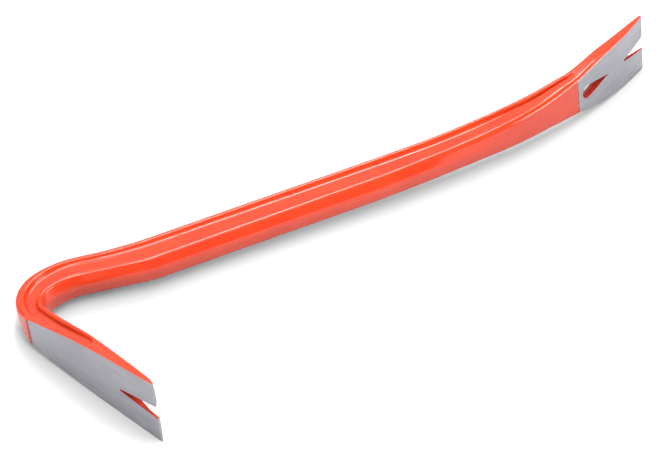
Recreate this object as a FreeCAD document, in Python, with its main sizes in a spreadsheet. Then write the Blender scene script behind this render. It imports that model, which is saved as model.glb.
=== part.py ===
import FreeCAD, Part
import math
import os
import Sketcher
from FreeCAD import Vector, Rotation, Placement

# One-piece forged pry bar, lying on its side.
#
# The bar bends in the XY plane, and Z is the width of its claws. The part is
# the same above and below the plane Z = half its height. The shank runs along
# +X, the hooked claw is at the left, folded back under the shank (towards -Y),
# and the straight claw is at the right, kicked up towards +Y.
#
# Two pieces of matter: the forging, and the coat of paint round it. The outer
# faces of both claws are ground bare after painting, so the coat stops there.
#
# The plan outline is drawn as chains of lines and tangent arcs. "s" is a
# distance along a claw from its tip, "w" is a half width along Z.

doc = FreeCAD.newDocument("pry_bar")
sheet = doc.addObject("Spreadsheet::Sheet", "dims")
row = [0]
val = {}


def cell(alias, value, note=""):
    row[0] += 1
    r = row[0]
    sheet.set("A%d" % r, alias)
    sheet.set("B%d" % r, repr(round(float(value), 9)))
    sheet.set("C%d" % r, note)
    sheet.setAlias("B%d" % r, alias)
    val[alias] = round(float(value), 9)
    return val[alias]


# ---- driving dimensions, mm and degrees ----------------------------------
cell("coat_thk", 0.2, "paint film")
cell("flange_half", 8.75, "half width of the shank, along Z")
cell("recess_deep", 2.9, "depth of the side recess below the flange")
cell("rail_back", 3.8, "flange edge beside the recess, outer side")
cell("rail_front", 3.6, "flange edge beside the recess, inner side")
cell("edge_round", 1.8, "rounding of the long flange edges")
cell("recess_round", 1.4, "rounding at the root of the recess")
cell("slab_half", 27.0, "half height of the blank")
cell("shift_along", -20.41, "puts the middle of the box on the Z axis")
cell("shift_across", 34.52, "puts the middle of the box on the Z axis")
cell("lift", 24.5, "puts the lowest claw corner on Z = 0")
# hooked claw
cell("hook_tip_along", -160.9)
cell("hook_tip_across", -119.7)
cell("hook_head", 113.74, "direction of the ground face, degrees")
cell("hook_ground", 112.7, "length of the ground face")
cell("hook_tip_thk", 1.9)
cell("hook_nose_len", 12.0)
cell("hook_nose_thk", 5.4)
cell("hook_taper", 6.6, "degrees between the two faces of the claw")
cell("heel_arc_a", 30.0)
cell("heel_turn_a", 96.8)
cell("heel_arc_b", 59.6)
cell("heel_turn_b", 27.5)
cell("heel_run", 4.2)
cell("neck_arc_back", 250.0)
cell("shank_back", 20.5, "back line of the shank")
cell("shank_front", -2.8, "front line of the shank")
cell("throat_arc_a", 10.7)
cell("throat_turn_a", 84.15)
cell("throat_arc_b", 41.0)
cell("throat_turn_b", 33.65)
cell("neck_arc_front", 56.0)
# straight claw
cell("claw_tip_along", 249.6)
cell("claw_tip_across", 48.95)
cell("claw_back_len", 53.2, "straight run of the claw's back face")
cell("claw_back_head", 19.2)
cell("claw_knee_arc", 70.0)
cell("claw_neck_head", 7.3)
cell("claw_neck_len", 31.2)
cell("claw_rise_arc", 690.0)
cell("claw_front_start", 22.0)
cell("claw_front_arc_a", 913.0)
cell("claw_front_turn_a", 5.66)
cell("claw_front_arc_b", 317.5)
cell("claw_front_turn_b", 21.0)
cell("claw_front_arc_c", 282.0)
cell("claw_ground_turn", 13.45, "turn of arc b before the ground face starts")
cell("claw_tip_thk", 1.9)
cell("claw_head", 26.4, "direction used for the claw's width profile")
# width profiles
cell("hook_w_tip", 24.5)
cell("claw_w_tip", 22.0)
# notches and nail hole
cell("hook_notch_deep", 31.9)
cell("hook_notch_mouth", 5.05)
cell("hook_notch_root", 0.8)
cell("claw_notch_deep", 21.0)
cell("claw_notch_mouth", 5.15)
cell("claw_notch_root", 0.8)
cell("hole_centre", 59.7)
cell("hole_round", 5.1)
cell("hole_point", 39.5)
V = val
rad = math.radians


def vec(a):
    return Vector(math.cos(rad(a)), math.sin(rad(a)), 0)


def left(a):
    return Vector(-math.sin(rad(a)), math.cos(rad(a)), 0)


def walk(start, head, steps, side=0.0):
    """Chain of lines ('L', length) and arcs ('A', radius, turn), each tangent
    to the last. side moves the whole chain to its left by that much."""
    pt = start + left(head) * side
    out = []
    for st in steps:
        if st[0] == "L":
            q = pt + vec(head) * st[1]
            out.append(("L", pt, q))
            pt = q
        else:
            rr, turn = st[1], st[2]
            sg = 1.0 if turn > 0 else -1.0
            rr = rr - side * sg
            c = pt + left(head) * (rr * sg)
            q = c - left(head + turn) * (rr * sg)
            out.append(("A", pt, q, c, rr, sg))
            head += turn
            pt = q
    return out, pt, head


def back(chain):
    """The same chain, walked the other way."""
    out = []
    for g in reversed(chain):
        if g[0] == "L":
            out.append(("L", g[2], g[1]))
        else:
            out.append(("A", g[2], g[1], g[3], g[4], -g[5]))
    return out


def link(*chains):
    """Joins chains into a closed loop, with a straight step at each gap."""
    out = []
    for ch in chains:
        if out and (out[-1][2] - ch[0][1]).Length > 1e-6:
            out.append(("L", out[-1][2], ch[0][1]))
        out += ch
    if (out[-1][2] - out[0][1]).Length > 1e-6:
        out.append(("L", out[-1][2], out[0][1]))
    return out


OFFX, OFFY = 400.0, 300.0


def draw(name, loops, place):
    """A sketch of closed loops. Every corner is held by two distances from
    the sketch's corner and every arc by its radius, bound to the sheet."""
    sk = doc.addObject("Sketcher::SketchObject", name)
    base = Vector(OFFX, OFFY, 0)
    cons, names = [], []
    k = 0
    for loop in loops:
        first = k
        for g in loop:
            a, b = g[1] + base, g[2] + base
            if g[0] == "L":
                sk.addGeometry(Part.LineSegment(a, b), False)
            else:
                c = g[3] + base
                circle = Part.Circle(c, Vector(0, 0, 1), g[4])
                t0 = math.atan2(a.y - c.y, a.x - c.x)
                t1 = math.atan2(b.y - c.y, b.x - c.x)
                if g[5] < 0:
                    t0, t1 = t1, t0
                while t1 < t0:
                    t1 += 2 * math.pi
                sk.addGeometry(Part.ArcOfCircle(circle, t0, t1), False)
            k += 1
        n = k - first
        for i in range(n):
            g, j = loop[i], first + i
            jn = first + (i + 1) % n
            gn = loop[(i + 1) % n]
            end = 2 if (g[0] == "L" or g[5] > 0) else 1
            start = 1 if (gn[0] == "L" or gn[5] > 0) else 2
            cons.append(Sketcher.Constraint("Coincident", j, end, jn, start))
            names.append(None)
            q = g[2] + base
            for kind, w in (("DistanceX", q.x), ("DistanceY", q.y)):
                tag = "%s_%s%d" % (name, "ax" if kind == "DistanceX" else "ay", j)
                cell(tag, w)
                cons.append(Sketcher.Constraint(kind, -1, 1, j, end, V[tag]))
                names.append(tag)
            if g[0] == "A":
                tag = "%s_rad%d" % (name, j)
                cell(tag, g[4])
                cons.append(Sketcher.Constraint("Radius", j, V[tag]))
                names.append(tag)
    sk.addConstraint(cons)
    doc.recompute()
    for i, tag in enumerate(names):
        if tag:
            sk.renameConstraint(i, tag)
            sk.setExpression("Constraints." + tag, "dims." + tag)
    sk.Placement = place * Placement(Vector(-OFFX, -OFFY, 0), Rotation())
    return sk


def pull(name, sk, length, direction, both=True):
    ex = doc.addObject("Part::Extrusion", name)
    ex.Base = sk
    ex.DirMode = "Custom"
    ex.Dir = direction
    ex.Solid = True
    ex.Symmetric = both
    if isinstance(length, str):
        ex.setExpression("LengthFwd", length)
    else:
        ex.LengthFwd = length
    return ex


SHIFT = Vector(V["shift_along"], V["shift_across"], V["lift"])
PLAN = Placement(SHIFT, Rotation())
HTIP = Vector(V["hook_tip_along"], V["hook_tip_across"], 0)
CTIP = Vector(V["claw_tip_along"], V["claw_tip_across"], 0)
HN = left(V["hook_head"]) * -1.0        # into the hook's metal
# Width profiles are drawn on a plane that holds Z and the claw's direction:
# the sketch's X is s, from the tip inwards, and its Y is Z.
HOOK_SIDE = Placement(HTIP + SHIFT, Rotation(vec(V["hook_head"]), Vector(0, 0, 1), Vector(), "XYZ"))
CLAW_SIDE = Placement(CTIP + SHIFT, Rotation(vec(V["claw_head"] + 180), Vector(0, 0, 1), Vector(), "XYZ"))
HOOK_DIR = HOOK_SIDE.Rotation.multVec(Vector(0, 0, 1))
CLAW_DIR = CLAW_SIDE.Rotation.multVec(Vector(0, 0, 1))


def outer_chain(c, s0=0.0, cut_end=0.0):
    """Back of the bar, from the hook's tip round the heel to the claw's tip.
    c is how far inside the painted surface it runs. The hook's ground face
    is the first run, and it isn't moved when s0 is 0."""
    hd = V["hook_head"]
    t1, t1b = V["heel_turn_a"], V["heel_turn_b"]
    hneck = hd - t1 - t1b
    ch = []
    ground, pt, h = walk(HTIP + vec(hd) * s0, hd, [("L", V["hook_ground"] - s0)], 0.0 if s0 == 0.0 else -c)
    start = HTIP + vec(hd) * V["hook_ground"]
    # the neck arc has to land on the shank's back line
    pre, p2, h2 = walk(start, hd, [("A", V["heel_arc_a"], -t1), ("A", V["heel_arc_b"], -t1b)])
    drop = p2.y - V["shank_back"] - V["neck_arc_back"] * (1 - math.cos(rad(hneck)))
    run = drop / math.sin(rad(-hneck))
    neck_end = p2.x + run * math.cos(rad(hneck)) + V["neck_arc_back"] * math.sin(rad(-hneck))
    # the claw's back face, worked back from the tip
    tipb = CTIP + left(V["claw_head"]) * V["claw_tip_thk"]
    hb, hn_ = V["claw_back_head"], V["claw_neck_head"]
    knee = tipb - vec(hb) * V["claw_back_len"]
    dk = Vector(V["claw_knee_arc"] * (math.sin(rad(hb)) - math.sin(rad(hn_))), V["claw_knee_arc"] * (math.cos(rad(hn_)) - math.cos(rad(hb))), 0)
    kneeb = knee - dk
    rise = V["claw_rise_arc"] * (1 - math.cos(rad(hn_)))
    nlen = (kneeb.y - V["shank_back"] - rise) / math.sin(rad(hn_))
    straight_end = kneeb.x - nlen * math.cos(rad(hn_)) - V["claw_rise_arc"] * math.sin(rad(hn_))
    steps = [("A", V["heel_arc_a"], -t1), ("A", V["heel_arc_b"], -t1b), ("L", run),
             ("A", V["neck_arc_back"], -hneck), ("L", straight_end - neck_end),
             ("A", V["claw_rise_arc"], hn_), ("L", nlen), ("A", V["claw_knee_arc"], hb - hn_),
             ("L", V["claw_back_len"] - cut_end)]
    rest, pt, h = walk(start, hd, steps, -c)
    return ground, rest


def inner_chain(c, s0=None, turn_b=None):
    """Throat side of the bar, from the hook's tip to the claw's tip."""
    hd = V["hook_head"] - V["hook_taper"]
    ta, tb = V["throat_turn_a"], V["throat_turn_b"]
    hneck = hd - ta - tb
    nose = HTIP + vec(V["hook_head"]) * V["hook_nose_len"] + HN * V["hook_nose_thk"]
    # neck and shank fix where the throat has to sit
    ra, rb, rn = V["throat_arc_a"], V["throat_arc_b"], V["neck_arc_front"]
    pre, p2, h2 = walk(Vector(), hd, [("A", ra, -ta), ("A", rb, -tb)])
    leg = V["throat_leg"]
    st = nose + vec(hd) * leg
    end = st + p2
    drop = end.y - V["shank_front"] - rn * (1 - math.cos(rad(hneck)))
    run = drop / math.sin(rad(-hneck))
    neck_end = end.x + run * math.cos(rad(hneck)) + rn * math.sin(rad(-hneck))
    tbb = V["claw_front_turn_b"] if turn_b is None else turn_b
    steps = [("L", leg if s0 is None else leg - (s0 - V["hook_nose_len"]) / math.cos(rad(V["hook_taper"]))),
             ("A", ra, -ta), ("A", rb, -tb), ("L", run), ("A", rn, -hneck),
             ("L", V["claw_front_start"] - neck_end), ("A", V["claw_front_arc_a"], V["claw_front_turn_a"]),
             ("A", V["claw_front_arc_b"], tbb)]
    first = nose if s0 is None else nose + vec(hd) * ((s0 - V["hook_nose_len"]) / math.cos(rad(V["hook_taper"])))
    ch, pt, h = walk(first, hd, steps, c)
    return ch, pt, h, nose, hd


cell("throat_leg", 100.6, "straight run of the hook's inner face")


def plan_loop(c):
    """Plan outline, c inside the painted surface. The ground faces and the
    tips' end faces are bare, so they stay where they are."""
    ground, rest = outer_chain(c)
    # throat side: painted as far as the start of the claw's ground face
    ch, pt, h, nose, hd = inner_chain(c, None, V["claw_ground_turn"])
    # bare face of the claw
    ch0, pt0, h0, _, _ = inner_chain(0.0, None, V["claw_ground_turn"])
    turn = V["claw_front_turn_b"] - V["claw_ground_turn"]
    bare, pb, hb = walk(pt0, h0, [("A", V["claw_front_arc_b"], turn)])
    # last arc, through the claw's tip
    d = CTIP - pb
    fwd, up = d.dot(vec(hb)), d.dot(left(hb))
    r_last = (fwd * fwd + up * up) / (2 * up)
    t_last = math.degrees(2 * math.atan2(up, fwd))
    last, pe, he = walk(pb, hb, [("A", r_last, t_last)])
    # nose arc of the hook: from the tip's thickness to the inner face
    a = HTIP + HN * (V["hook_tip_thk"] - c)
    b = nose + left(hd) * c
    d = a - b
    bwd, side = d.dot(vec(hd) * -1.0), d.dot(left(hd))
    r_nose = (bwd * bwd + side * side) / (2 * abs(side))
    t_nose = math.degrees(2 * math.atan2(abs(side), bwd))
    nose_arc, _, _ = walk(b, hd + 180, [("A", r_nose, -t_nose if side > 0 else t_nose)])
    nose_arc = back(nose_arc)
    nose_arc[0] = ("A", a, nose_arc[0][2], nose_arc[0][3], nose_arc[0][4], nose_arc[0][5])
    # walked anticlockwise: inner side out to the claw, back along the outer side
    tip_face = []
    return link(nose_arc + ch, bare + last, back(rest), back(ground))


def hook_width(c):
    """Half width of the hooked claw against s."""
    ch, pt, h = walk(Vector(0, V["hook_w_tip"], 0), -4.1, [("L", 48.0), ("A", 270.0, -6.2)], -c)
    # down to the shank's half width
    base = V["flange_half"]
    p0 = pt + left(h) * c
    drop = p0.y - base
    r = 52.8
    run = (drop - r * (1 - math.cos(rad(10.3)))) / math.sin(rad(10.3))
    ch2, pt, h = walk(p0, h, [("L", run), ("A", r, 10.3)], -c)
    return ch + ch2, p0.x + run * math.cos(rad(10.3)) + r * math.sin(rad(10.3))


def claw_width(c):
    ch, pt, h = walk(Vector(0, V["claw_w_tip"], 0), -4.6, [("L", 38.0), ("A", 130.0, -11.4), ("A", 40.0, 13.5)], -c)
    p0 = pt + left(h) * c
    drop = p0.y - V["flange_half"]
    r = 1700.0
    run = (drop - r * (1 - math.cos(rad(2.5)))) / math.sin(rad(2.5))
    ch2, pt, h = walk(p0, h, [("L", run), ("A", r, 2.5)], -c)
    return ch + ch2, p0.x + run * math.cos(rad(2.5)) + r * math.sin(rad(2.5))


def hook_floor(c):
    """Half thickness of the web in the hooked claw: it rises out of the
    recess towards the tip."""
    end, s_end = hook_width(0.0)
    base = V["flange_half"] - V["recess_deep"]
    r = 52.8
    p_arc = Vector(s_end - r * math.sin(rad(10.3)), base + r * (1 - math.cos(rad(10.3))), 0)
    p_mid = p_arc - vec(-10.3) * 33.0
    ch, pt, h = walk(p_mid, -10.3, [("L", 33.0), ("A", r, 10.3)], -c)
    p_top = p_mid - Vector(60 * (math.sin(rad(17.5)) - math.sin(rad(10.3))), -60 * (math.cos(rad(10.3)) - math.cos(rad(17.5))), 0)
    first, _, _ = walk(p_top - vec(-17.5) * 30.0, -17.5, [("L", 30.0), ("A", 60.0, 7.2)], -c)
    return first + ch, s_end


def claw_floor(c):
    end, s_end = claw_width(0.0)
    base = V["flange_half"] - V["recess_deep"]
    r = 1700.0
    p_arc = Vector(s_end - r * math.sin(rad(2.5)), base + r * (1 - math.cos(rad(2.5))), 0)
    p_mid = p_arc - vec(-2.5) * 24.0
    ch, pt, h = walk(p_mid, -2.5, [("L", 24.0), ("A", r, 2.5)], -c)
    ang = 9.0
    p_top = p_mid - Vector(100 * (math.sin(rad(ang)) - math.sin(rad(2.5))), -100 * (math.cos(rad(2.5)) - math.cos(rad(ang))), 0)
    first, _, _ = walk(p_top - vec(-ang) * 48.0, -ang, [("L", 48.0), ("A", 100.0, ang - 2.5)], -c)
    return first + ch, s_end


def mirror(chain):
    out = []
    for g in chain:
        f = lambda p: Vector(p.x, -p.y, 0)
        if g[0] == "L":
            out.append(("L", f(g[1]), f(g[2])))
        else:
            out.append(("A", f(g[1]), f(g[2]), f(g[3]), g[4], -g[5]))
    return out


def band(chain):
    """Closed shape between a half-width chain and its mirror image."""
    return link(mirror(chain), back(chain))


def tipped(chain):
    """Runs the chain on past the tip, so that the band covers the claw's end."""
    p = chain[0][1]
    d = (chain[0][2] - chain[0][1]).normalize()
    q = p - d * 6.0
    return [("L", q, p)] + chain


def envelope(tag, c, width_h, width_c, half):
    """Everything within the half width: a slab for the shank and a band
    for each claw, pulled square to that claw."""
    wh, sh = width_h(c)
    wc, sc = width_c(c)
    skh = draw(tag + "_hook", [band(tipped(wh))], HOOK_SIDE)
    exh = pull(tag + "_hook_band", skh, 48.0, HOOK_DIR)
    skc = draw(tag + "_claw", [band(tipped(wc))], CLAW_SIDE)
    exc = pull(tag + "_claw_band", skc, 170.0, CLAW_DIR)
    # the slab lies between the two bands, in plan
    a = HTIP + vec(V["hook_head"]) * sh
    b = CTIP + vec(V["claw_head"] + 180) * sc
    up = left(V["claw_head"])
    pts = [a - HN * 24.0, a + HN * 24.0, HTIP + vec(V["hook_head"]) * 85.0 + HN * 24.0,
           b - up * 5.0, b + up * 100.0, Vector(-240.0, 60.0, 0)]
    loop = [("L", pts[i], pts[(i + 1) % 6]) for i in range(6)]
    sks = draw(tag + "_shank", [loop], PLAN)
    exs = pull(tag + "_shank_slab", sks, half, Vector(0, 0, 1))
    fu = doc.addObject("Part::MultiFuse", tag + "_envelope")
    fu.Shapes = [exh, exs, exc]
    fu.Refine = False
    return fu


def recess_loop(c):
    """Plan of the side recess: the bar's outline less its two rails."""
    s0 = 52.0
    g, rest = outer_chain(V["rail_back"] - c, s0, 0.0)
    # stop the back line short, beside the claw's knee
    cut = V["claw_back_len"] - 2.0
    g, rest = outer_chain(V["rail_back"] - c, s0, cut)
    ch, pt, h, _, _ = inner_chain(V["rail_front"] - c, s0, V["claw_ground_turn"] + 2.6)
    return link(ch, back(g + rest))


def vee(c, deep, mouth, root):
    """A claw's notch, open at the tip, blunt at the root."""
    k = (mouth - root) / deep
    w0 = mouth + 8.0 * k + c
    wr = root + c
    a, b = Vector(-8.0, -w0, 0), Vector(deep + c * 0.5 - wr * 0.6, -wr, 0)
    a2, b2 = Vector(-8.0, w0, 0), Vector(b.x, wr, 0)
    tip = Vector(deep + c, 0, 0)
    # arc through b, tip and b2
    hgt = tip.x - b.x
    r = (wr * wr + hgt * hgt) / (2 * hgt)
    cen = Vector(tip.x - r, 0, 0)
    return [("L", a, b), ("A", b, b2, cen, r, 1.0), ("L", b2, a2), ("L", a2, a)]


def drop_hole(c):
    """Nail hole: round at the shank end, drawn to a point towards the tip."""
    r = V["hole_round"] + c
    cen = Vector(V["hole_centre"], 0, 0)
    point = V["hole_point"] - c / math.sin(math.asin(V["hole_round"] / (V["hole_centre"] - V["hole_point"])))
    d = V["hole_centre"] - point
    phi = math.asin(r / d)
    tx, ty = cen.x - r * math.sin(phi), r * math.cos(phi)
    p = Vector(point, 0, 0)
    return [("L", p, Vector(tx, -ty, 0)), ("A", Vector(tx, -ty, 0), Vector(tx, ty, 0), cen, r, 1.0), ("L", Vector(tx, ty, 0), p)]


def forging(tag, c, half_expr, floor_expr):
    """The whole bar, c inside the painted surface."""
    sk = draw(tag + "_plan", [plan_loop(c)], PLAN)
    blank = pull(tag + "_blank", sk, "2 * dims.slab_half", Vector(0, 0, 1))
    env = envelope(tag + "_width", c, hook_width, claw_width, half_expr)
    body = doc.addObject("Part::MultiCommon", tag + "_bar")
    body.Shapes = [blank, env]
    body.Refine = False
    skr = draw(tag + "_recess", [recess_loop(c)], PLAN)
    rec = pull(tag + "_recess_plug", skr, "2 * dims.slab_half", Vector(0, 0, 1))
    web = envelope(tag + "_web", c, hook_floor, claw_floor, floor_expr)
    tool = doc.addObject("Part::Cut", tag + "_recess_tool")
    tool.Base, tool.Tool = rec, web
    tool.Refine = False
    nh = draw(tag + "_hooknotch", [vee(c, V["hook_notch_deep"], V["hook_notch_mouth"], V["hook_notch_root"])], HOOK_SIDE)
    eh = pull(tag + "_hook_notch", nh, 60.0, HOOK_DIR)
    nc = draw(tag + "_clawnotch", [vee(c, V["claw_notch_deep"], V["claw_notch_mouth"], V["claw_notch_root"])], CLAW_SIDE)
    ec = pull(tag + "_claw_notch", nc, 60.0, CLAW_DIR)
    nd = draw(tag + "_drop", [drop_hole(c)], CLAW_SIDE)
    ed = pull(tag + "_drop_hole", nd, 60.0, CLAW_DIR)
    cuts = doc.addObject("Part::MultiFuse", tag + "_cuts")
    cuts.Shapes = [tool, eh, ec, ed]
    cuts.Refine = False
    out = doc.addObject("Part::Cut", tag + "_cut")
    out.Base, out.Tool = body, cuts
    out.Refine = False
    return out


outer = forging("outer", 0.0, "2 * dims.flange_half", "2 * (dims.flange_half - dims.recess_deep)")
steel = forging("steel", V["coat_thk"], "2 * (dims.flange_half - dims.coat_thk)", "2 * (dims.flange_half - dims.recess_deep - dims.coat_thk)")
doc.recompute()
for ob in doc.Objects:
    if any(w in ("Invalid", "Error") for w in ob.State):
        raise RuntimeError("%s: %s" % (ob.Name, ob.State))
for ob in (outer, steel):
    sh = ob.Shape
    print(ob.Name, sh.isValid(), len(sh.Solids), round(sh.Volume, 1), sh.BoundBox)

NODES = {}
NODES["forged_bar"] = steel
coat = doc.addObject("Part::Cut", "coat")
coat.Base, coat.Tool = outer, steel
coat.Refine = False
NODES["paint_coat"] = coat
doc.recompute()

os.makedirs("parts", exist_ok=True)
for label, ob in NODES.items():
    ob.Label = label
    sh = ob.Shape
    if sh.isNull() or not sh.isValid():
        raise RuntimeError("%s has no valid shape" % label)
    print(label, "solids", len(sh.Solids), "faces", len(sh.Faces), "volume", round(sh.Volume, 1), sh.BoundBox)
for label, ob in NODES.items():
    ob.Shape.exportStep("parts/%s.step" % label)
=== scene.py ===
import bpy, bmesh, math
from mathutils import Vector, Matrix


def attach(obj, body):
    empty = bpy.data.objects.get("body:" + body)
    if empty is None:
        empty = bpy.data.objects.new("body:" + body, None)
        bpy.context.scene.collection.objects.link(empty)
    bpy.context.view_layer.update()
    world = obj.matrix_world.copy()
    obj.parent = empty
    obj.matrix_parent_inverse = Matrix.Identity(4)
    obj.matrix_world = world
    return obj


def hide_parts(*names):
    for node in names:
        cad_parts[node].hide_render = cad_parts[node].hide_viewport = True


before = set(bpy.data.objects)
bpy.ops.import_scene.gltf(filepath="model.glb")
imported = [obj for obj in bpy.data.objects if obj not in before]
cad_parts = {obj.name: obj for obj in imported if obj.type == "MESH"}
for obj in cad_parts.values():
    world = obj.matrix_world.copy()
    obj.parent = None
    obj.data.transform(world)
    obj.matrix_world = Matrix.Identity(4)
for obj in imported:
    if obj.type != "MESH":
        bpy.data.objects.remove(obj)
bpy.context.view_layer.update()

scene = bpy.context.scene

# ---------------------------------------------------------------- geometry
# Plan lines of the bar, in mm, before the shift into the part's frame:
# chains of lines and tangent arcs.
SHIFT = Vector((-20.41, 34.52, 24.5))
rad = math.radians
HTIP, HHEAD, HLEN = Vector((-160.9, -119.7)), 113.74, 112.7
CTIP, CHEAD = Vector((249.6, 48.95)), 26.4
FLANGE, DEEP = 8.75, 2.9


def vec(a):
    return Vector((math.cos(rad(a)), math.sin(rad(a))))


def left(a):
    return Vector((-math.sin(rad(a)), math.cos(rad(a))))


U, N = vec(HHEAD), left(HHEAD) * -1.0          # along the hook, and into it
CU, CN = vec(CHEAD + 180), left(CHEAD)          # from the claw's tip inwards, and to its back


class Path:
    """A chain of ('L', length) and ('A', radius, turn), read by distance."""

    def __init__(self, start, head, steps):
        self.seg = []
        d = 0.0
        p = start.copy()
        for st in steps:
            n = st[1] if st[0] == "L" else st[1] * abs(rad(st[2]))
            self.seg.append((d, n, p.copy(), head, st))
            q, head = self._at(p, head, st, n)
            p = q
            d += n
        self.length, self.end, self.end_head = d, p, head

    @staticmethod
    def _at(p, head, st, x):
        if st[0] == "L":
            return p + vec(head) * x, head
        sg = 1.0 if st[2] > 0 else -1.0
        turn = math.degrees(x / st[1]) * sg
        c = p + left(head) * (st[1] * sg)
        return c - left(head + turn) * (st[1] * sg), head + turn

    def at(self, x):
        for d, n, p, head, st in self.seg:
            if x <= d + n + 1e-9:
                return self._at(p, head, st, max(0.0, x - d))
        return self.end, self.end_head

    def where(self, test, a=0.0, b=None):
        """Distance at which test(point, heading) turns true, by halving."""
        b = self.length if b is None else b
        for _ in range(50):
            m = (a + b) / 2
            if test(*self.at(m)):
                b = m
            else:
                a = m
        return (a + b) / 2


# outer line: round the heel, along the back, to the back of the claw's tip
BACK, FRONT = 20.5, -2.8
s_out = HTIP + U * HLEN
pre = Path(s_out, HHEAD, [("A", 30.0, -96.8), ("A", 59.6, -27.5)])
hn = -pre.end_head
run = (pre.end.y - BACK - 250.0 * (1 - math.cos(rad(hn)))) / math.sin(rad(hn))
neck_x = pre.end.x + run * math.cos(rad(hn)) + 250.0 * math.sin(rad(hn))
tipb = CTIP + CN * 1.9
knee = tipb - vec(19.2) * 53.2 - Vector((70 * (math.sin(rad(19.2)) - math.sin(rad(7.3))), 70 * (math.cos(rad(7.3)) - math.cos(rad(19.2)))))
nlen = (knee.y - BACK - 690 * (1 - math.cos(rad(7.3)))) / math.sin(rad(7.3))
bend_x = knee.x - nlen * math.cos(rad(7.3)) - 690 * math.sin(rad(7.3))
OUT = Path(s_out, HHEAD, [("A", 30.0, -96.8), ("A", 59.6, -27.5), ("L", run), ("A", 250.0, hn), ("L", bend_x - neck_x),
                          ("A", 690.0, 7.3), ("L", nlen), ("A", 70.0, 11.9), ("L", 53.2)])
# inner line: throat, front of the shank, ground face of the claw
NOSE = HTIP + U * 12.0 + N * 5.4
IHEAD = HHEAD - 6.6
t_in = NOSE + vec(IHEAD) * 100.6
pre2 = Path(t_in, IHEAD, [("A", 10.7, -84.15), ("A", 41.0, -33.65)])
hn2 = -pre2.end_head
run2 = (pre2.end.y - FRONT - 56.0 * (1 - math.cos(rad(hn2)))) / math.sin(rad(hn2))
neck2 = pre2.end.x + run2 * math.cos(rad(hn2)) + 56.0 * math.sin(rad(hn2))
steps = [("A", 10.7, -84.15), ("A", 41.0, -33.65), ("L", run2), ("A", 56.0, hn2), ("L", 22.0 - neck2), ("A", 913.0, 5.66), ("A", 317.5, 21.0)]
pre3 = Path(t_in, IHEAD, steps)
d = CTIP - pre3.end
fw, up = d.dot(vec(pre3.end_head)), d.dot(left(pre3.end_head))
INN = Path(t_in, IHEAD, steps + [("A", (fw * fw + up * up) / (2 * up), math.degrees(2 * math.atan2(up, fw)))])


def table(points):
    """Smooth curve through (x, y) pairs: monotone cubic."""
    xs = [p[0] for p in points]
    ys = [p[1] for p in points]
    n = len(xs)
    dl = [(ys[i + 1] - ys[i]) / (xs[i + 1] - xs[i]) for i in range(n - 1)]
    m = [dl[0]] + [0.0 if dl[i - 1] * dl[i] <= 0 else 2 * dl[i - 1] * dl[i] / (dl[i - 1] + dl[i]) for i in range(1, n - 1)] + [dl[-1]]

    def f(x):
        if x <= xs[0]:
            return ys[0]
        if x >= xs[-1]:
            return ys[-1]
        i = max(k for k in range(n - 1) if xs[k] <= x)
        h = xs[i + 1] - xs[i]
        t = (x - xs[i]) / h
        return ((2 * t ** 3 - 3 * t ** 2 + 1) * ys[i] + (t ** 3 - 2 * t ** 2 + t) * h * m[i]
                + (-2 * t ** 3 + 3 * t ** 2) * ys[i + 1] + (t ** 3 - t ** 2) * h * m[i + 1])
    return f


# half width against distance from each tip
hook_w = table([(0, 24.5), (16, 23.35), (32, 22.2), (47.9, 21.07), (62, 19.55), (76.8, 17.41), (98, 13.56), (119.8, 9.6), (124.5, 8.96), (129.3, 8.75), (140, 8.75)])
claw_w = table([(0, 22.0), (19, 20.47), (37.9, 18.95), (51, 17.1), (63.3, 14.34), (68, 13.3), (72.6, 12.82), (100, 11.62), (128.8, 10.37), (166, 9.15), (203, 8.75), (230, 8.75)])


def ramp(x, a, b):
    t = min(1.0, max(0.0, (x - a) / (b - a)))
    return t * t * (3 - 2 * t)


def face_profile(w, slope_deg, flat, small, ro, n=15):
    """Side of the bar from the parting line up: a flat middle, then drawn in at
    slope_deg, then rounded over at the flange. Returns (in, z) pairs, z rising to w."""
    out = []
    z0 = flat * w
    ro = min(ro, w * 0.5)
    t = rad(slope_deg)
    drop = ro * (1 - math.sin(t))
    z2 = w - drop
    z1 = min(z0 + small, z2 - 0.05)
    r1 = (z1 - z0) / math.sin(t) if t > 1e-6 else 0.0
    for k in range(3):
        out.append((0.0, z0 * k / 3.0))
    for k in range(5):
        a = t * k / 4.0
        if r1:
            out.append((r1 * (1 - math.cos(a)), z0 + r1 * math.sin(a)))
        else:
            out.append((0.0, z0 + (z1 - z0) * k / 4.0))
    x1 = out[-1][0]
    x2 = x1 + (z2 - z1) * math.tan(t)
    for k in range(1, 4):
        out.append((x1 + (x2 - x1) * k / 3.0, z1 + (z2 - z1) * k / 3.0))
    cx, cz = x2 + ro * math.cos(t), w - ro
    for k in range(1, 9):
        a = t + (math.pi / 2 - t) * k / 8.0
        out.append((cx - ro * math.cos(a), cz + ro * math.sin(a)))
    return out


def fit(profile, reach):
    """Draws a side's profile in so that it takes no more than reach."""
    m = profile[-1][0]
    k = min(1.0, reach / m) if m > 0 else 1.0
    return [(x * k, z) for x, z in profile]


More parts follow.
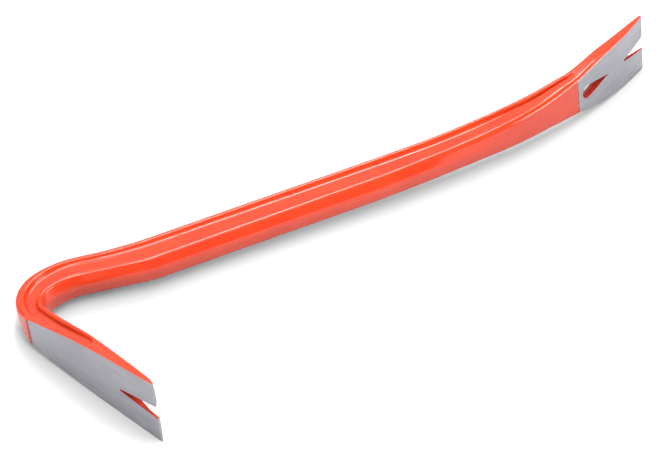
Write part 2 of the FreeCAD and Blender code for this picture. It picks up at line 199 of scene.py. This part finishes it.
def section(o, i, w, deep, ro, ri, a1, a2, so, si, k_root=1.9):
    """Upper half of one cross-section, from the middle of the outer face over
    the flange to the middle of the inner face. Points are (across, z)."""
    T = (i - o).length
    po = fit(face_profile(w, so, 0.10, 1.6, ro), 0.3 * T)
    pi_ = fit(face_profile(w, si, 0.10, 1.6, ri), 0.36 * T)
    bo, bi = po[-1][0], pi_[-1][0]
    pts = list(po)
    # recess: two rounded corners each side, joined by a sloping wall
    k1 = min(1.0, 0.35 * deep + 0.03)
    lo_, hi_ = bo + 0.04, T - bi - 0.04
    mid = a1 * 0.5 + a2 * 0.5
    mid = min(max(mid, lo_ + (hi_ - lo_) * 0.3), hi_ - (hi_ - lo_) * 0.3)
    a1, a2 = max(min(a1, mid - 0.12 * (hi_ - lo_)), lo_ + k1), min(max(a2, mid + 0.12 * (hi_ - lo_)), hi_ - k1)
    wide = a2 - a1
    slope = min(max(0.30 * deep, 0.03), 0.3 * wide)
    deep = max(deep, 0.004)
    k2 = min(k_root, 0.7 * deep + 0.04, wide * 0.2)
    wall = math.hypot(slope, deep)
    k1w, k2w = min(k1, wall * 0.42), min(k2, wall * 0.5)
    tx, tz = slope / wall, -deep / wall

    def corner(c, p, q, n):
        out = []
        for k in range(n + 1):
            t = k / n
            out.append(((1 - t) ** 2 * p[0] + 2 * t * (1 - t) * c[0] + t * t * q[0], (1 - t) ** 2 * p[1] + 2 * t * (1 - t) * c[1] + t * t * q[1]))
        return out

    def side(a, sg):
        b = (a + sg * slope, w - deep)
        top = corner((a, w), (a - sg * k1, w), (a + sg * tx * k1w, w + tz * k1w), 5)
        bot = corner(b, (b[0] - sg * tx * k2w, b[1] - tz * k2w), (b[0] + sg * k2, b[1]), 6)
        return top + bot
    lft, rgt = side(a1, 1.0), side(a2, -1.0)
    r0 = pts[-1][0]
    for k in range(1, 3):
        pts.append((r0 + (lft[0][0] - r0) * k / 3.0, w))
    pts += lft
    f0, f1 = lft[-1][0], rgt[-1][0]
    for k in range(1, 6):
        pts.append((f0 + (f1 - f0) * k / 6.0, w - deep))
    pts += rgt[::-1]
    r1 = T - bi
    q0 = rgt[0][0]
    for k in range(1, 3):
        pts.append((q0 + (r1 - q0) * k / 3.0, w))
    pts += [(T - x, z) for x, z in pi_[::-1]]
    e = (i - o).normalized()
    return [Vector((o.x + e.x * a, o.y + e.y * a, z)) for a, z in pts]


stations = []      # (outer, inner, half width, recess depth, round out, round in, tag)


def recess_at(dist, end, run_, full):
    """Depth of the recess, dist from the tip: it starts at end with a rounded
    step and reaches full depth over run_."""
    x = (dist - end) / run_
    if x <= 0:
        return 0.0
    return full * min(1.0, 0.66 * ramp(x, 0, 0.13) + 0.34 * ramp(x, 0, 1.0))


def add(o, i, w, deep, ro, ri, tag, rails=(3.8, 3.6), so=5.0, si=22.0):
    T = (i - o).length
    upper = section(o, i, w, deep, ro, ri, rails[0], T - rails[1], so, si)
    # below the parting line the die has less draft
    lower = section(o, i, w, deep, ro, ri, rails[0], T - rails[1], so, min(si, 7.0))
    stations.append((upper, [Vector((p.x, p.y, -p.z)) for p in lower]))


# hooked claw
sag = HTIP + N * 1.9
nd = sag - NOSE
bw, sd = nd.dot(vec(IHEAD) * -1.0), nd.dot(left(IHEAD))
nose_path = Path(NOSE, IHEAD + 180, [("A", (bw * bw + sd * sd) / (2 * abs(sd)), -math.degrees(2 * math.atan2(abs(sd), bw)))])
xs = [0.0, 0.25, 0.6, 1.0, 1.6, 2.3, 3.2, 4.3, 5.6, 7.0, 8.5, 10.0, 11.4]
s = 12.6
while s < HLEN - 1.2:
    xs.append(s)
    s += 0.7 if 54 < s < 66 else 1.45
xs.append(HLEN)
H_END = 57.0
for s in xs:
    o = HTIP + U * s
    if s < 12.0:
        x = nose_path.where(lambda p, h: (p - HTIP).dot(U) < s)
        i = nose_path.at(x)[0]
        if s == 0.0:
            i = sag.copy()
    else:
        f = (s - 12.0) / (HLEN - 12.0)
        i = NOSE + vec(IHEAD) * (100.6 * f)
    T = (i - o).length
    ri = 0.5 + 1.4 * ramp(s, 10, 95)
    # the recess narrows to a rounded end between two rails
    rnd = ramp(s, H_END, H_END + 3.2)
    rb = 3.4 + 1.6 * ramp(s, 60, 108)
    rf = 3.3 + 1.2 * ramp(s, 62, 95)
    gap = (T - rb - rf) * (0.25 + 0.75 * rnd)
    c_ = rb + (T - rb - rf) * 0.5
    add(o, i, hook_w(s), recess_at(s, H_END, 34.0, DEEP), 0.06, ri, "hook", rails=(c_ - gap / 2, T - c_ - gap / 2), so=0.0, si=4.0 + 10.0 * ramp(s, 60, 112))
# heel
nh = 60
for k in range(1, nh + 1):
    f = k / nh
    ho = HHEAD + (pre.end_head - HHEAD) * f
    hi_ = IHEAD + (pre2.end_head - IHEAD) * f
    xo = pre.where(lambda p, h: h < ho) if k < nh else pre.length
    xi = pre2.where(lambda p, h: h < hi_) if k < nh else pre2.length
    o, i = pre.at(xo)[0], pre2.at(xi)[0]
    se = HLEN + xo
    ro = 0.06 + 2.2 * ramp(se, 113.2, 121.0)
    rb = 5.0 + 1.0 * ramp(f, 0, 0.25) - 2.2 * ramp(f, 0.55, 1.0)
    rf = 4.5 - 0.5 * ramp(f, 0.5, 1.0)
    add(o, i, hook_w(se), DEEP, ro, 1.9 + 0.3 * f, "heel" if se > HLEN + 0.6 else "hook", rails=(rb, rf), so=5.0 * ramp(se, 113.2, 121.0), si=14.0 + 8.0 * ramp(f, 0.3, 0.8))
# neck and straight shank, matched along X
x0o, x0i = pre.end.x, pre2.end.x
n = 30
x1 = neck_x
for k in range(1, n + 1):
    f = k / n
    xo, xi = x0o + (x1 - x0o) * f, x0i + (x1 - x0i) * f
    o = OUT.at(OUT.where(lambda p, h: p.x > xo and h < 60, 60.0, 200.0))[0]
    i = INN.at(INN.where(lambda p, h: p.x > xi and h < 60, 30.0, 150.0))[0]
    add(o, i, FLANGE, DEEP, 2.1, 2.2, "shank", rails=(3.8, 4.3))
x = x1
while x < 8.0:
    x += 2.6
    add(Vector((x, BACK)), INN.at(INN.where(lambda p, h: p.x > x and h < 60, 60.0, 400.0))[0], FLANGE, DEEP, 2.0, 2.2, "shank", rails=(3.8, 4.3))
xs0 = x
# bend and straight claw: sections stand square to a heading that turns with the bar
di = INN.where(lambda p, h: p.x > xs0 and h < 60, 60.0, INN.length)
GROUND = 69.6
fr = []
f = 0.0
while f < 0.955:
    f += 0.0070 if f < 0.62 or f > 0.76 else 0.0038
    fr.append(f)
fr += [0.962, 0.970, 0.978, 0.984, 0.989, 0.993, 0.996, 0.9985, 1.0]
for f in fr:
    i = INN.at(di + (INN.length - di) * f)[0]
    hd = CHEAD * ramp(i.x, xs0 - 20.0, 176.0)
    o = OUT.at(OUT.where(lambda p, h: (p - i).dot(vec(hd)) > 0 and h < 60, 60.0, OUT.length))[0]
    if f == 1.0:
        o, i = tipb.copy(), CTIP.copy()
    sc = (i - CTIP).dot(CU)
    T = (i - o).length
    w = claw_w(sc)
    ground = sc < GROUND
    k_ = ramp(sc, 20, 64)
    if ground:
        # the face is ground back into a rounded edge, and paint is left on the round
        ri, si = 0.3 + 2.3 * k_, 0.0
        w += 1.5 * k_
    else:
        ri = 2.6 + 0.9 * ramp(sc, GROUND, GROUND + 8) - 1.3 * ramp(sc, 120, 215)
        si = 22.0 * ramp(sc, 110, 190)
        w += 1.5 * (1 - ramp(sc, GROUND, GROUND + 30))
    ro = 2.0 + 0.9 * ramp(sc, 150, 90) - 2.6 * ramp(sc, 78, 4)
    so = 5.0 * ramp(sc, 60, 120)
    wide = 1.4 + (T - 7.8 - 1.4) * ramp(sc, 62, 185)
    rb = 3.8 - 0.4 * ramp(sc, 130, 70)
    rnd = ramp(sc, 65.0, 71.0)
    wide *= 0.3 + 0.7 * rnd
    add(o, i, w, recess_at(sc, 65.0, 34.0, DEEP), ro, ri, "claw" if ground else "shank", rails=(rb, T - rb - wide), so=so, si=si)

NP = len(stations[0][0])
verts, faces = [], []
ring = []
for pts, low in stations:
    full = pts + low[-2:0:-1]
    ring.append(len(full))
    verts += [(p + SHIFT) for p in full]
NR = ring[0]
for a in range(len(stations) - 1):
    for k in range(NR):
        k2 = (k + 1) % NR
        faces.append((a * NR + k, a * NR + k2, (a + 1) * NR + k2, (a + 1) * NR + k))
faces.append(tuple(range(NR))[::-1])
last = (len(stations) - 1) * NR
faces.append(tuple(last + k for k in range(NR)))


def mesh_object(name, vs, fs):
    me = bpy.data.meshes.new(name)
    me.from_pydata([tuple(v * 0.001) for v in vs], [], fs)
    me.validate()
    ob = bpy.data.objects.new(name, me)
    scene.collection.objects.link(ob)
    bm = bmesh.new()
    bm.from_mesh(me)
    bmesh.ops.recalc_face_normals(bm, faces=bm.faces)
    bm.to_mesh(me)
    bm.free()
    return ob


bar = mesh_object("bar_blank", verts, faces)


def prism(name, rings, origin, along, into):
    """Cutter: each ring is (n at s=0, n per s, outline); outlines are (s, z)
    pairs on the claw's ground face, and n is the depth below that face."""
    vs, m = [], len(rings[0][2])
    for n0, n1, outline in rings:
        for s_, z_ in outline:
            p = origin + along * s_ + into * (n0 + n1 * s_)
            vs.append(Vector((p.x, p.y, z_)) + SHIFT)
    q = len(rings)
    fs = [tuple(range(m)), tuple(range(q * m - 1, (q - 1) * m - 1, -1))]
    for r in range(q - 1):
        fs += [(r * m + k, r * m + (k + 1) % m, (r + 1) * m + (k + 1) % m, (r + 1) * m + k) for k in range(m)]
    return mesh_object(name, vs, fs)


def vee(deep, mouth, root, grow=0.0):
    k = (mouth - root) / deep
    wr = root + grow
    w0 = mouth + 8 * k + grow
    cx = deep - wr
    out = [(-8.0, -w0), (cx, -wr)]
    out += [(cx + wr * math.sin(rad(a)), -wr * math.cos(rad(a))) for a in range(15, 180, 15)]
    out += [(cx, wr), (-8.0, w0)]
    return out


def drop(centre, r, point, grow=0.0, n=28):
    dd = centre - point
    phi = math.degrees(math.asin(r / dd))
    point = centre - dd * (r + grow) / r
    r = r + grow
    out = [(point, 0.0)]
    a0 = -(90 + phi)
    for k in range(n + 1):
        a = a0 + (180 + 2 * phi) * k / n
        out.append((centre + r * math.cos(rad(a)), r * math.sin(rad(a))))
    return [(s_, z_ - 0.055 * (s_ - centre) - 0.3) for s_, z_ in out]


# the notches and the nail hole are countersunk from the back, for the nail's head
cutters = [prism("cut_hook", [(-6.0, 0.0, vee(31.9, 5.05, 0.8)), (0.9, 0.075, vee(31.9, 5.05, 0.8)),
                              (3.2, 0.125, vee(34.4, 13.0, 2.8)), (18.6, 0.125, vee(46.0, 41.0, 11.0))], HTIP, U, N),
           prism("cut_claw", [(-6.0, 0.0, vee(22.0, 5.15, 0.85)), (0.95, 0.0, vee(22.0, 5.15, 0.85)),
                              (18.95, 0.0, vee(53.2, 36.35, 32.0))], CTIP, CU, CN),
           prism("cut_drop", [(-14.0, 0.0, drop(59.7, 5.1, 39.2)), (2.9, 0.0, drop(59.7, 5.1, 39.2)),
                              (22.9, 0.0, drop(59.7, 5.1, 39.2, 20.0))], CTIP, CU, CN)]
for c in cutters:
    md = bar.modifiers.new("cut", "BOOLEAN")
    md.operation, md.solver, md.object = "DIFFERENCE", "EXACT", c
dg = bpy.context.evaluated_depsgraph_get()
cut = bpy.data.meshes.new_from_object(bar.evaluated_get(dg))
for c in cutters + [bar]:
    bpy.data.objects.remove(c, do_unlink=True)

bm = bmesh.new()
bm.from_mesh(cut)
bmesh.ops.remove_doubles(bm, verts=bm.verts, dist=2e-6)
bm.normal_update()


def plan(co):
    return Vector((co.x * 1000 - SHIFT.x, co.y * 1000 - SHIFT.y))


def is_bare(f):
    c = f.calc_center_median()
    p = plan(c)
    nv = Vector((f.normal.x, f.normal.y))
    s_ = (p - HTIP).dot(U)
    off = (p - HTIP).dot(N)
    if s_ < HLEN + 0.7 and s_ > -1 and abs(off) < 0.06 and f.normal.z < 0.3 and nv.dot(N) < -0.9:
        return 1
    if s_ < 0.1 and s_ > -1 and off < 2.2 and off > -0.2 and nv.dot(U) < -0.9:
        return 1
    sc = (p - CTIP).dot(CU)
    oc = (p - CTIP).dot(CN)
    if sc < GROUND and sc > -1 and nv.dot(CN) < -0.93 and oc < 2.0 and abs(f.normal.z) < 0.3:
        return 2
    if sc < 0.2 and sc > -1 and nv.dot(CU) < -0.9 and -0.2 < oc < 2.2:
        return 2
    return 0


def in_cut(f):
    """True on the walls and countersinks of the notches and the hole."""
    c = f.calc_center_median()
    p = plan(c)
    z = abs(c.z * 1000 - SHIFT.z)
    for tip, al, into, reach, half in ((HTIP, U, N, 37.0, hook_w), (CTIP, CU, CN, 74.0, claw_w)):
        s_ = (p - tip).dot(al)
        o_ = (p - tip).dot(into)
        n_ = f.normal.x * into.x + f.normal.y * into.y
        if -0.2 < s_ < reach and -1.0 < o_ < 16.0 and z < half(s_) - 1.2 and -0.6 < n_ < 0.88:
            return True
    return False


kind = {f.index: is_bare(f) for f in bm.faces}
cut_walls = {f.index for f in bm.faces if not kind[f.index] and in_cut(f)}
print("faces", len(bm.faces), "bare", sum(1 for v in kind.values() if v))
painted = [f for f in bm.faces if not kind[f.index]]
bare = [f for f in bm.faces if kind[f.index]]
# normals of the painted skin alone
acc = {}
for f in painted:
    for l in f.loops:
        acc.setdefault(l.vert.index, Vector())
        acc[l.vert.index] += f.normal * l.calc_angle()
COAT = 0.0002
pos = {v.index: v.co.copy() for v in bm.verts}
inner = {k: pos[k] - n_.normalized() * COAT for k, n_ in acc.items()}
rim = []
for e in bm.edges:
    ks = [kind[f.index] for f in e.link_faces]
    if len(ks) == 2 and (ks[0] == 0) != (ks[1] == 0):
        # direction of the edge as the painted face runs it
        pf = [f for f in e.link_faces if not kind[f.index]][0]
        for l in pf.loops:
            if l.edge == e:
                a, b = l.vert.index, l.link_loop_next.vert.index
        rim.append((a, b))


def build(name, parts, mats):
    """parts: (list of vertex position keys per face, material index)."""
    idx, vs, fs, mi = {}, [], [], []
    for keys, m in parts:
        row_ = []
        for which, k in keys:
            if (which, k) not in idx:
                idx[(which, k)] = len(vs)
                vs.append(pos[k] if which == 0 else inner[k])
            row_.append(idx[(which, k)])
        fs.append(row_)
        mi.append(m)
    me = bpy.data.meshes.new(name)
    me.from_pydata([tuple(v) for v in vs], [], fs)
    for m in mats:
        me.materials.append(m)
    me.polygons.foreach_set("material_index", mi)
    me.update()
    ob = bpy.data.objects.new(name, me)
    scene.collection.objects.link(ob)
    return ob


# ---------------------------------------------------------------- materials
def new_mat(name):
    m = bpy.data.materials.new(name)
    m.use_nodes = True
    nt = m.node_tree
    return m, nt, nt.nodes["Principled BSDF"]


def node(nt, kind_, **kw):
    nd_ = nt.nodes.new(kind_)
    for k, v in kw.items():
        setattr(nd_, k, v)
    return nd_


def ramp_node(nt, stops, interp="LINEAR"):
    r = node(nt, "ShaderNodeValToRGB")
    r.color_ramp.interpolation = interp
    while len(r.color_ramp.elements) < len(stops):
        r.color_ramp.elements.new(0.5)
    for e, (p, c) in zip(r.color_ramp.elements, stops):
        e.position = p
        e.color = c if len(c) == 4 else (*c, 1.0)
    return r


def steel(name, angle, tip, along, start):
    """Bare ground steel: fine lines along the claw, a little cloudy, and a
    ragged lip of paint where the grinding stops."""
    m, nt, bs = new_mat(name)
    L = nt.links
    tc = node(nt, "ShaderNodeTexCoord")
    rot = node(nt, "ShaderNodeMapping", vector_type="TEXTURE")
    rot.inputs["Rotation"].default_value = (0, 0, rad(angle))
    L.new(tc.outputs["Object"], rot.inputs["Vector"])

    def streak(scale, detail, seed):
        mp = node(nt, "ShaderNodeMapping")
        mp.inputs["Scale"].default_value = scale
        mp.inputs["Location"].default_value = (seed, seed * 0.7, seed * 1.3)
        L.new(rot.outputs["Vector"], mp.inputs["Vector"])
        n_ = node(nt, "ShaderNodeTexNoise")
        n_.inputs["Scale"].default_value = 1.0
        n_.inputs["Detail"].default_value = detail
        n_.inputs["Roughness"].default_value = 0.6
        L.new(mp.outputs["Vector"], n_.inputs["Vector"])
        return n_

    def mixf(fac, p, q):
        mx = node(nt, "ShaderNodeMix", data_type="FLOAT")
        mx.inputs[0].default_value = fac
        L.new(p, mx.inputs[2])
        L.new(q, mx.inputs[3])
        return mx.outputs[0]
    fine = streak((70, 2200, 2200), 4, 1.7)
    mid = streak((22, 520, 520), 3, 4.1)
    cloud = streak((26, 40, 40), 3, 9.3)
    lines = mixf(0.5, fine.outputs["Fac"], mid.outputs["Fac"])
    tone = mixf(0.30, lines, cloud.outputs["Fac"])
    cr = ramp_node(nt, [(0.34, STEEL[0]), (0.5, STEEL[1]), (0.66, STEEL[2])])
    L.new(tone, cr.inputs["Fac"])
    # paint lip
    sub = node(nt, "ShaderNodeVectorMath", operation="SUBTRACT")
    sub.inputs[1].default_value = ((tip.x + SHIFT.x) * 0.001, (tip.y + SHIFT.y) * 0.001, SHIFT.z * 0.001)
    L.new(tc.outputs["Object"], sub.inputs[0])
    dot = node(nt, "ShaderNodeVectorMath", operation="DOT_PRODUCT")
    dot.inputs[1].default_value = (along.x, along.y, 0.0)
    L.new(sub.outputs["Vector"], dot.inputs[0])
    rag = node(nt, "ShaderNodeTexNoise")
    rag.inputs["Scale"].default_value = 520.0
    rag.inputs["Detail"].default_value = 3
    L.new(tc.outputs["Object"], rag.inputs["Vector"])
    jit = node(nt, "ShaderNodeMath", operation="MULTIPLY_ADD")
    jit.inputs[1].default_value = 0.0026
    L.new(rag.outputs["Fac"], jit.inputs[0])
    L.new(dot.outputs["Value"], jit.inputs[2])
    lip = node(nt, "ShaderNodeMapRange")
    lip.inputs["From Min"].default_value = start * 0.001 + 0.0003
    lip.inputs["From Max"].default_value = start * 0.001 + 0.00045
    L.new(jit.outputs[0], lip.inputs["Value"])
    mc = node(nt, "ShaderNodeMix", data_type="RGBA")
    L.new(lip.outputs[0], mc.inputs[0])
    L.new(cr.outputs["Color"], mc.inputs[6])
    mc.inputs[7].default_value = (0.42, 0.030, 0.012, 1)
    L.new(mc.outputs[2], bs.inputs["Base Color"])
    mm = node(nt, "ShaderNodeMapRange")
    mm.inputs["To Min"].default_value = 0.9
    mm.inputs["To Max"].default_value = 0.0
    L.new(lip.outputs[0], mm.inputs["Value"])
    L.new(mm.outputs[0], bs.inputs["Metallic"])
    rr = ramp_node(nt, [(0.3, (0.40, 0.40, 0.40)), (0.7, (0.58, 0.58, 0.58))])
    L.new(lines, rr.inputs["Fac"])
    L.new(rr.outputs["Color"], bs.inputs["Roughness"])
    bp = node(nt, "ShaderNodeBump")
    bp.inputs["Strength"].default_value = 0.5
    bp.inputs["Distance"].default_value = 0.00008
    L.new(lines, bp.inputs["Height"])
    L.new(bp.outputs["Normal"], bs.inputs["Normal"])
    return m


STEEL = ((0.255, 0.253, 0.28), (0.325, 0.322, 0.352), (0.415, 0.41, 0.44))


def cut_paint_shaded():
    """Dull, scuffed paint on the sawn walls of the notches and hole, its red darkened as painted shade inside the
    cuts.
    """
    m, nt, bs = new_mat("enamel_in_cuts_painted_shade")
    L = nt.links
    tc = node(nt, "ShaderNodeTexCoord")
    n1 = node(nt, "ShaderNodeTexNoise")
    n1.inputs["Scale"].default_value = 260.0
    n1.inputs["Detail"].default_value = 5
    L.new(tc.outputs["Object"], n1.inputs["Vector"])
    # darker reds than the enamel: painted shade on the cut walls, mottled at random
    cr = ramp_node(nt, [(0.34, (0.26, 0.016, 0.008)), (0.52, (0.52, 0.024, 0.009)), (0.68, (0.66, 0.034, 0.011))])
    L.new(n1.outputs["Fac"], cr.inputs["Fac"])
    L.new(cr.outputs["Color"], bs.inputs["Base Color"])
    rr = ramp_node(nt, [(0.3, (0.5, 0.5, 0.5)), (0.7, (0.75, 0.75, 0.75))])
    L.new(n1.outputs["Fac"], rr.inputs["Fac"])
    L.new(rr.outputs["Color"], bs.inputs["Roughness"])
    bs.inputs["Specular IOR Level"].default_value = 0.2
    b1 = node(nt, "ShaderNodeBump")
    b1.inputs["Strength"].default_value = 0.4
    b1.inputs["Distance"].default_value = 0.00012
    L.new(n1.outputs["Fac"], b1.inputs["Height"])
    L.new(b1.outputs["Normal"], bs.inputs["Normal"])
    return m


def paint():
    """Glossy enamel over a forged surface: faint orange peel and unevenness."""
    m, nt, bs = new_mat("enamel")
    L = nt.links
    tc = node(nt, "ShaderNodeTexCoord")
    n1 = node(nt, "ShaderNodeTexNoise")
    n1.inputs["Scale"].default_value = 38.0
    n1.inputs["Detail"].default_value = 5
    L.new(tc.outputs["Object"], n1.inputs["Vector"])
    cr = ramp_node(nt, [(0.32, (0.80, 0.041, 0.005)), (0.68, (0.88, 0.054, 0.008))])
    L.new(n1.outputs["Fac"], cr.inputs["Fac"])
    L.new(cr.outputs["Color"], bs.inputs["Base Color"])
    n2 = node(nt, "ShaderNodeTexNoise")
    n2.inputs["Scale"].default_value = 420.0
    n2.inputs["Detail"].default_value = 2
    L.new(tc.outputs["Object"], n2.inputs["Vector"])
    rr = ramp_node(nt, [(0.3, (0.10, 0.10, 0.10)), (0.75, (0.17, 0.17, 0.17))])
    L.new(n1.outputs["Fac"], rr.inputs["Fac"])
    L.new(rr.outputs["Color"], bs.inputs["Roughness"])
    bs.inputs["Metallic"].default_value = 0.0
    bs.inputs["IOR"].default_value = 1.58
    b1 = node(nt, "ShaderNodeBump")
    b1.inputs["Strength"].default_value = 0.25
    b1.inputs["Distance"].default_value = 0.0004
    L.new(n1.outputs["Fac"], b1.inputs["Height"])
    b2 = node(nt, "ShaderNodeBump")
    b2.inputs["Strength"].default_value = 0.12
    b2.inputs["Distance"].default_value = 0.00008
    L.new(n2.outputs["Fac"], b2.inputs["Height"])
    L.new(b1.outputs["Normal"], b2.inputs["Normal"])
    L.new(b2.outputs["Normal"], bs.inputs["Normal"])
    return m


M_PAINT, M_CUT_SHADED = paint(), cut_paint_shaded()
M_HOOK = steel("ground_steel_hook", HHEAD, HTIP, U, HLEN)
M_CLAW = steel("ground_steel_claw", CHEAD, CTIP, CU, GROUND)

skin, core = [], []
for f in painted:
    ks = [v.index for v in f.verts]
    # faces on the walls of the cuts take the darker enamel, painted shade inside the notches and hole
    skin.append(([(0, k) for k in ks], 1 if f.index in cut_walls else 0))
    skin.append(([(1, k) for k in reversed(ks)], 0))
    core.append(([(1, k) for k in ks], 0))
for f in bare:
    core.append(([(0, v.index) for v in f.verts], kind[f.index] - 1))
for a, b in rim:
    skin.append(([(0, b), (0, a), (1, a), (1, b)], 0))
    core.append(([(0, a), (0, b), (1, b), (1, a)], 0))
enamel = build("enamel_skin", skin, [M_PAINT, M_CUT_SHADED])
forging = build("steel_forging", core, [M_HOOK, M_CLAW])
bm.free()
for ob, ang in ((enamel, 32), (forging, 28)):
    me = ob.data
    me.polygons.foreach_set("use_smooth", [True] * len(me.polygons))
    me.set_sharp_from_angle(angle=rad(ang))
    me.update()

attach(enamel, "root")
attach(forging, "root")
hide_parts("paint_coat")
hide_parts("forged_bar")

# ---------------------------------------------------------------- stage
# The bar rests on both claws' lower corners and on the lower edge of the
# heel, so the floor leans a few degrees against the bar's own plane.
pa = Vector((HTIP.x + SHIFT.x, HTIP.y + SHIFT.y, 0.0))
pb = Vector((CTIP.x + SHIFT.x, CTIP.y + SHIFT.y, SHIFT.z - 22.0))
best = None
ob_v = [v.co * 1000 for v in enamel.data.vertices]
ax = (pb - pa).normalized()
side_ = Vector((-ax.y, ax.x, 0)).normalized()
for v in ob_v:
    dd_ = v - pa
    lat = dd_.dot(side_)
    if lat > 40:
        g = (v.z - pa.z - (pb.z - pa.z) * dd_.dot(ax) / (pb - pa).length) / lat
        if best is None or g < best[0]:
            best = (g, v)
pc = best[1]
nf = (pb - pa).cross(pc - pa).normalized()
if nf.z < 0:
    nf = -nf
print("floor normal", nf, "third point", pc)
fl = bpy.data.meshes.new("floor")
t1 = Vector((1, 0, 0)) - nf * nf.x
t1.normalize()
t2 = nf.cross(t1)
ctr = pa * 0.001 - nf * 0.00002
S = 6.0
fl.from_pydata([tuple(ctr + t1 * a + t2 * b) for a, b in ((-S, -S), (S, -S), (S, S), (-S, S))], [], [(0, 1, 2, 3)])
floor = bpy.data.objects.new("floor", fl)
scene.collection.objects.link(floor)
mf, ntf, bf = new_mat("floor_white")
bf.inputs["Base Color"].default_value = (0.93, 0.93, 0.93, 1)
bf.inputs["Roughness"].default_value = 0.8
bf.inputs["Specular IOR Level"].default_value = 0.2
fl.materials.append(mf)

scene.view_settings.view_transform = "Standard"
w = bpy.data.worlds.new("studio")
scene.world = w
w.use_nodes = True
wt = w.node_tree
bg = wt.nodes["Background"]
bg.inputs["Strength"].default_value = 1.0
wc = wt.nodes.new("ShaderNodeTexCoord")
wd = wt.nodes.new("ShaderNodeVectorMath")
wd.operation = "DOT_PRODUCT"
wd.inputs[1].default_value = (0.26, 0.72, 0.64)
wr = wt.nodes.new("ShaderNodeValToRGB")
wr.color_ramp.elements[0].position = 0.925
wr.color_ramp.elements[0].color = (0.36, 0.36, 0.365, 1)
wr.color_ramp.elements[1].position = 0.980
wr.color_ramp.elements[1].color = (0.90, 0.90, 0.91, 1)
wm = wt.nodes.new("ShaderNodeMapRange")
wm.inputs["From Min"].default_value = -1.0
wt.links.new(wc.outputs["Generated"], wd.inputs[0])
wt.links.new(wd.outputs["Value"], wm.inputs["Value"])
wt.links.new(wm.outputs[0], wr.inputs["Fac"])
wt.links.new(wr.outputs["Color"], bg.inputs["Color"])


def area(name, loc, target, size, power, color=(1, 1, 1)):
    li = bpy.data.lights.new(name, "AREA")
    li.shape = "RECTANGLE"
    li.size, li.size_y = size
    li.energy = power
    li.color = color
    ob = bpy.data.objects.new(name, li)
    scene.collection.objects.link(ob)
    ob.location = loc
    dr = Vector(target) - Vector(loc)
    ob.rotation_euler = dr.to_track_quat("-Z", "Y").to_euler()
    return ob


# a narrow key above and behind the bar, a long strip overhead, and two broad fills
# low at its front corners
area("key", (0.22, 0.70, 1.30), (0.0, 0.0, 0.0), (1.10, 0.22), 4.5)
area("strip", (0.10, -0.04, 1.40), (0.0, 0.0, 0.0), (2.20, 0.15), 19.0)
area("fill_left", (-1.9, -1.15, 0.62), (0.0, 0.0, 0.0), (1.2, 1.0), 27.0)
area("fill_right", (1.7, -1.35, 0.62), (0.0, 0.0, 0.0), (1.2, 1.0), 29.0)
area("fill_front", (-0.3, -1.5, 1.9), (0.0, 0.0, 0.0), (1.6, 1.0), 9.0)
# light is counted once, straight from its source, so that shadows stay neutral
scene.cycles.diffuse_bounces = 0

# ---------------------------------------------------------------- camera
cam = bpy.data.cameras.new("camera")
cam_ob = bpy.data.objects.new("camera", cam)
scene.collection.objects.link(cam_ob)
cam.sensor_fit = "HORIZONTAL"
cam.sensor_width = 36.0
cam.lens = 3085.0 / 665.0 * 36.0
cam.clip_start, cam.clip_end = 0.05, 50
E, ROLL, YAW = rad(42.0), rad(-7.03), rad(18.4)
Rc = Matrix(((1, 0, 0), (0, -math.sin(E), -math.cos(E)), (0, math.cos(E), -math.sin(E))))
Rr = Matrix(((math.cos(ROLL), -math.sin(ROLL), 0), (math.sin(ROLL), math.cos(ROLL), 0), (0, 0, 1)))
Ry = Matrix(((math.cos(YAW), -math.sin(YAW), 0), (math.sin(YAW), math.cos(YAW), 0), (0, 0, 1)))
R = Matrix(((1, 0, 0), (0, -1, 0), (0, 0, -1))) @ Rr @ Rc @ Ry
loc = (Vector((-459.7, -1389.0, 1298.4)) + SHIFT) * 0.001
cam_ob.matrix_world = Matrix.Translation(loc) @ R.transposed().to_4x4()
scene.camera = cam_ob
